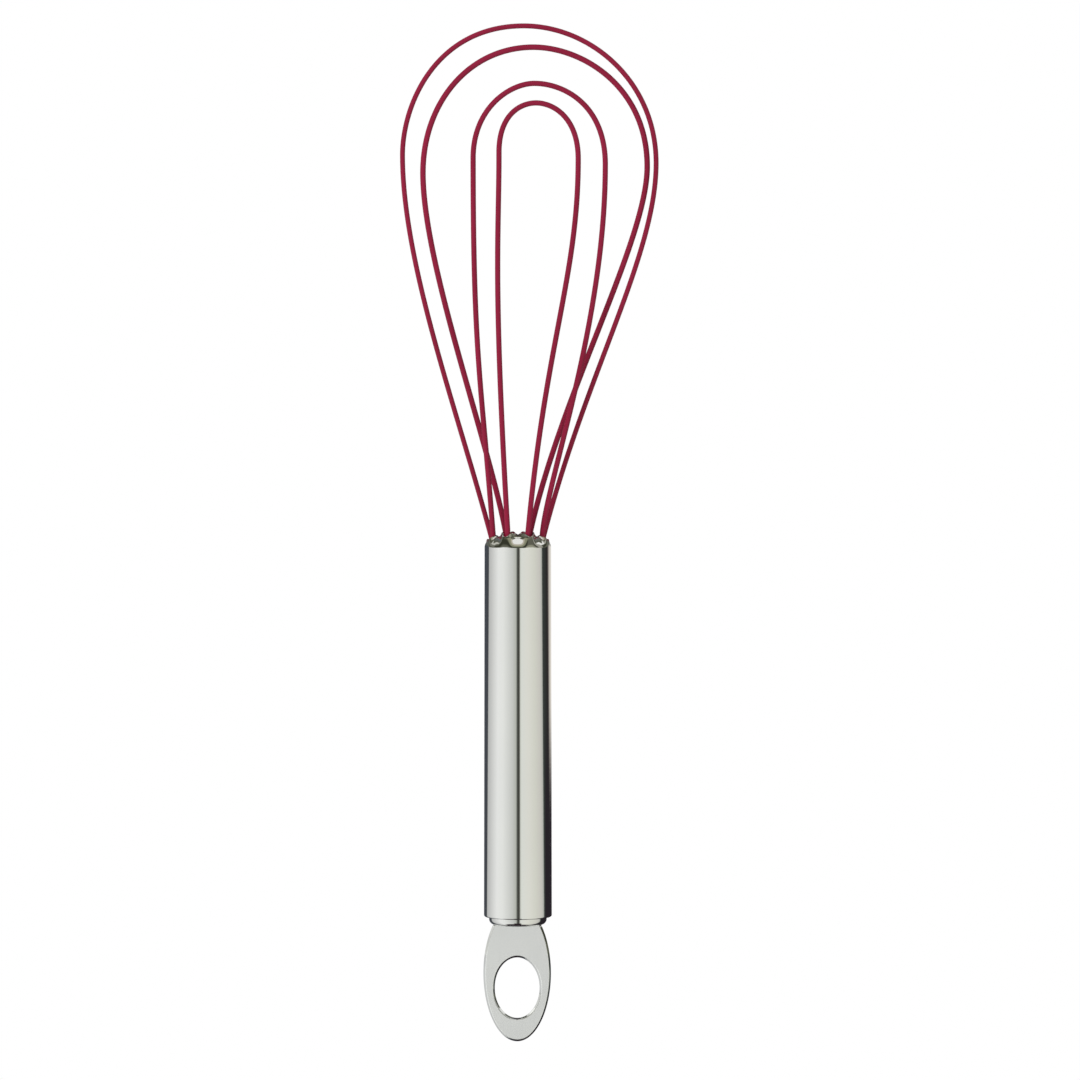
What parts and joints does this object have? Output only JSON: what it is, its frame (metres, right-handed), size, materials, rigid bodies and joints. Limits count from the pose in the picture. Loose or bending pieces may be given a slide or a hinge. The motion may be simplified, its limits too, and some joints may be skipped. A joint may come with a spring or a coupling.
{
  "type": "flat whisk",
  "caption": "Flat whisk with nested silicone-covered wire loops crimped into a steel tube handle that ends in an oval hanger plate with a hanging hole.",
  "frame": {"origin": "on the handle's axis, at mid-thickness of the hanger plate, on the strip between its hanging hole and the end cap", "axes": "+Z along the handle from the hanger to the loops, X across the loops, -Y the front of the whisk"},
  "size_m": [0.0729, 0.0192, 0.2883],
  "materials": {
    "tube_steel": "polished tube with very fine lines round it",
    "satin_steel": "satin",
    "spring_steel": "drawn wire",
    "silicone": "smooth satin crimson silicone",
    "nylon": "moulded, dark grey",
    "resin": "set resin, amber"
  },
  "bodies": {
    "root": {"handle_tube": "tube_steel", "wire_guide": "nylon", "potting_resin": "resin", "end_cap": "satin_steel", "hanger_plate": "satin_steel", "hanger_pin": "spring_steel", "outer_loop_core": "spring_steel", "outer_loop_sleeve": "silicone", "second_loop_core": "spring_steel", "second_loop_sleeve": "silicone", "third_loop_core": "spring_steel", "third_loop_sleeve": "silicone", "inner_loop_core": "spring_steel", "inner_loop_sleeve": "silicone"}
  },
  "joints": []
}
